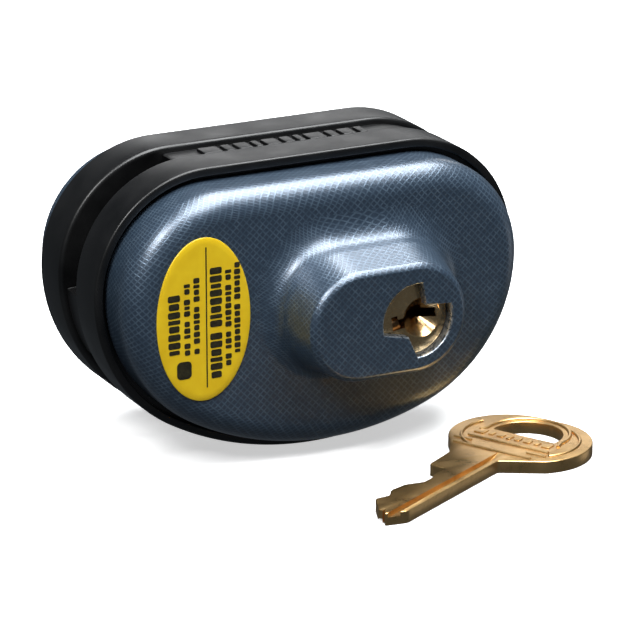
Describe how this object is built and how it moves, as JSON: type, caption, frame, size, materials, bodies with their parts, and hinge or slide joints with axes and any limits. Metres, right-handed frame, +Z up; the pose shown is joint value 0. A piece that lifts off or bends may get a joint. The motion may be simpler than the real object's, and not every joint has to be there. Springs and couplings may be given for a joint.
{
  "type": "keyed trigger lock",
  "caption": "Two oval padded halves that clamp over a trigger guard on a ratchet post, locked by a key plug in a raised boss, with a loose key.",
  "frame": {"origin": "middle of the gap between the two pads, on the centre of the oval outline", "axes": "+X along the long side towards the keyhole end, +Y from the keyed half to the plain half, +Z up with the flat side on top"},
  "size_m": [0.0796, 0.0705, 0.0505],
  "materials": {
    "cover_blue": "blue-grey metallic coat over a fine crossed-line cast texture",
    "label_yellow": "glossy yellow oval sticker with plain dark bars",
    "pad_black": "satin black moulded rubber",
    "steel": "zinc-plated sheet and screws",
    "zinc": "bare die-cast zinc",
    "plug_brass": "machined brass",
    "spring_steel": "spring wire",
    "post_steel": "hardened steel",
    "key_brass": "stamped and milled brass, lightly worn"
  },
  "bodies": {
    "front_half": {"front_cover": "cover_blue", "front_label": "label_yellow", "front_pad": "pad_black", "front_plate": "steel", "front_screws": "steel", "lock_body": "zinc", "driver_pins": "steel", "pin_springs": "spring_steel", "chamber_plugs": "plug_brass", "pawl_spring": "spring_steel"},
    "plug": {"cylinder_plug": "plug_brass", "key_pins": "plug_brass", "plug_clip": "spring_steel", "cam": "steel"},
    "pawl": {"pawl": "steel"},
    "rear_half": {"rear_cover": "cover_blue", "rear_pad": "pad_black", "rear_plate": "steel", "rear_screws": "steel", "ratchet_post": "post_steel", "guide_pins": "post_steel"},
    "key": {"key": "key_brass"}
  },
  "joints": [
    {"name": "plug_turn", "type": "hinge", "parent": "front_half", "child": "plug", "pos_m": [0.0092, -0.02, 0.001], "axis": [0, 1, 0], "range_deg": [0, 90]},
    {"name": "pawl_draw", "type": "slide", "parent": "front_half", "child": "pawl", "axis": [1, 0, 0], "range_m": [0, 0.00161], "deforming": ["pawl_spring"]},
    {"name": "rear_half_pull", "type": "slide", "parent": "front_half", "child": "rear_half", "axis": [0, 1, 0], "range_m": [0, 0.03]},
    {"name": "key_lift", "type": "slide", "parent": "front_half", "child": "key", "axis": [0, -0.7071, 0.7071], "range_m": [0, 0.04]}
  ],
  "couplings": [
    {"joint": "pawl_draw", "follows": "plug_turn", "m_per_rad": 0.0010175}
  ]
}
